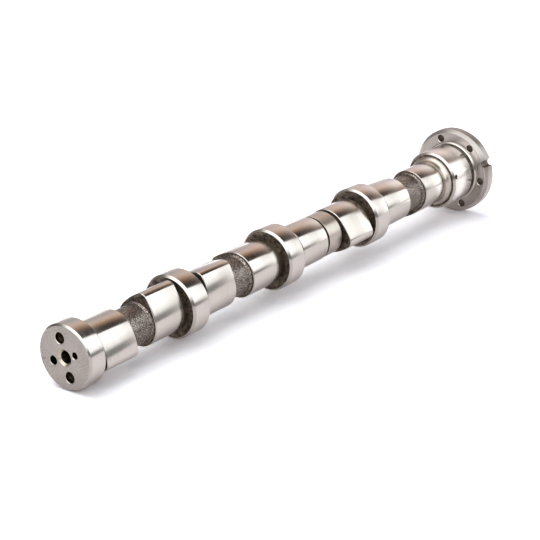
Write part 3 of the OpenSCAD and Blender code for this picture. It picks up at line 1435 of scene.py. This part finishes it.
    def painted_flange_light(self, bench: NodeBench) -> Socket:
        """Where the painted bright patch lies on the table beside the flange, shown only in reflections, with
        one edge slanting to the open side.

        Args:
            bench: The bench of the table's material.

        Returns:
            The socket that is one on the patch and nought off it.
        """
        along, side, _ = self.axes(bench)
        slant = bench.maths("MULTIPLY_ADD", side, self.painted_light_slant, along)
        behind = bench.spread(slant, *self.painted_light_edge)
        beyond = bench.spread(along, *self.painted_light_near)
        inside = bench.spread(side, *self.painted_light_far_side)
        return bench.maths("MULTIPLY", bench.maths("MULTIPLY", behind, beyond), inside)

    def surround(self) -> bpy.types.Object:
        """Hangs the curved glowing card round the shaft, no lamp, whose bands only the steel shows, as
        painted reflections.

        Returns:
            The card.
        """
        start, end = (math.radians(angle) for angle in self.surround_span)
        radius = self.surround_radius
        bm = bmesh.new()
        verts = [
            bm.verts.new((along, math.cos(start) * radius, math.sin(start) * radius))
            for along in self.surround_along
        ]
        bmesh.ops.spin(
            bm, geom=[*verts, bm.edges.new(verts)], cent=(0, 0, 0), axis=(1, 0, 0),
            angle=end - start, steps=self.surround_steps,
        )
        bmesh.ops.transform(bm, matrix=self.lying.frame(), verts=bm.verts)
        card = self.sheet("surround", bm, self.painted_reflection_material())
        card.visible_camera = False
        card.visible_diffuse = False
        card.visible_shadow = False
        card.visible_volume_scatter = False
        return card

    def axes(self, bench: NodeBench) -> list[Socket]:
        """Reads a place along the shaft, to its open side and up from the table, in metres.

        Args:
            bench: The bench of the material.

        Returns:
            The three sockets.
        """
        place = bench.node("ShaderNodeTexCoord").outputs["Object"]
        inputs = {0: place, 1: tuple(self.lying.ground)}
        offset = bench.node("ShaderNodeVectorMath", inputs, operation="SUBTRACT").outputs[0]
        read = []
        for direction in (self.lying.along, self.lying.side, self.lying.up):
            inputs = {0: offset, 1: tuple(direction)}
            dot = bench.node("ShaderNodeVectorMath", inputs, operation="DOT_PRODUCT")
            read.append(dot.outputs["Value"])
        return read

    def painted_reflection_material(self) -> bpy.types.Material:
        """Paints the card with glowing bands of painted reflection that run along it and turn white towards
        its near end.

        Returns:
            The glowing material.
        """
        start, end = self.surround_span
        quarter = math.tau / 4
        material, bench = blank_material("surround")
        along, side, up = self.axes(bench)
        raised = bench.maths("ADD", bench.maths("ARCTAN2", up, side), math.tau + quarter)
        turn = bench.maths("MODULO", raised, math.tau)
        low, high = (math.radians(angle) + quarter for angle in self.surround_span)
        share = bench.spread(turn, low, high)
        tones = []
        for _, bands in self.bands:
            ramp = bench.node("ShaderNodeValToRGB", {0: share})
            marks = ramp.color_ramp.elements
            while len(marks) < len(bands):
                marks.new(0.5)
            for mark, (degrees, tone) in zip(marks, bands):
                mark.position = (degrees - start) / (end - start)
                mark.color = (*tone, 1.0)
            tones.append(ramp.outputs[0])
        shown = tones[0]
        stations = [station for station, _ in self.bands]
        for last, station, tone in zip(stations, stations[1:], tones[1:]):
            shown = bench.blend(bench.spread(along, last, station), shown, tone)
        edge = self.surround_along[1]
        fade = bench.spread(along, edge - self.surround_fade, edge)
        faded = bench.blend(fade, shown, WHITE)
        bench.show(bench.node("ShaderNodeEmission", {"Color": faded}).outputs[0])
        return material

    def lamp(self) -> None:
        """Hangs the soft overhead lamp, which the steel doesn't reflect."""
        light = bpy.data.lights.new("overhead", "AREA")
        light.shape = "RECTANGLE"
        light.size = light.size_y = self.lamp_size
        light.energy = self.lamp_power
        lamp = placed("overhead", light)
        lamp.location = self.lying.spot(*self.lamp_spot)
        lamp.rotation_mode = "QUATERNION"
        lamp.rotation_quaternion = (self.lying.ground - lamp.location).to_track_quat("-Z", "Y")
        lamp.visible_glossy = False
        lamp.visible_camera = False

    def world(self) -> None:
        """Lights the room evenly and shows a white background."""
        world = bpy.data.worlds.new("studio")
        world.use_nodes = True
        world.node_tree.nodes.clear()
        bench = NodeBench(world.node_tree)
        even = bench.node("ShaderNodeBackground", {"Color": self.ambient_tint, "Strength": self.ambient})
        white = bench.node("ShaderNodeBackground", {"Color": WHITE, "Strength": 1.0})
        mixed = bench.node("ShaderNodeMixShader", {
            0: bench.light_path("Is Camera Ray", "Is Glossy Ray", "Is Transmission Ray"),
            1: even.outputs[0],
            2: white.outputs[0],
        })
        bench.show(mixed.outputs[0], "ShaderNodeOutputWorld")
        bpy.context.scene.world = world

    def camera(self) -> None:
        """Sets the camera at the photograph's view of the shaft."""
        data = bpy.data.cameras.new("camera")
        data.lens = self.lens
        data.sensor_width = self.film
        data.clip_start, data.clip_end = self.clip
        camera = placed("camera", data)
        forward, right = Vector(self.forward).normalized(), Vector(self.right).normalized()
        turn = Matrix((right, right.cross(forward), -forward)).transposed().to_4x4()
        camera.matrix_world = Matrix.Translation(Vector(self.eye) * MM) @ turn
        bpy.context.scene.camera = camera

    def build(self) -> None:
        """Builds the whole studio."""
        bpy.context.scene.view_settings.view_transform = "Standard"
        self.table()
        self.surround()
        self.lamp()
        self.world()
        self.camera()


def main() -> None:
    """Builds the camshaft and its studio."""
    logging.basicConfig(level=logging.INFO, format="%(name)s %(relativeCreated)d: %(message)s")
    shop = Workshop()
    shop.prepare()
    pieces = Camshaft().build(shop)
    Studio().build()
    LOG.info("%d pieces stand for the camshaft", len(pieces))


if __name__ == "__main__":
    main()
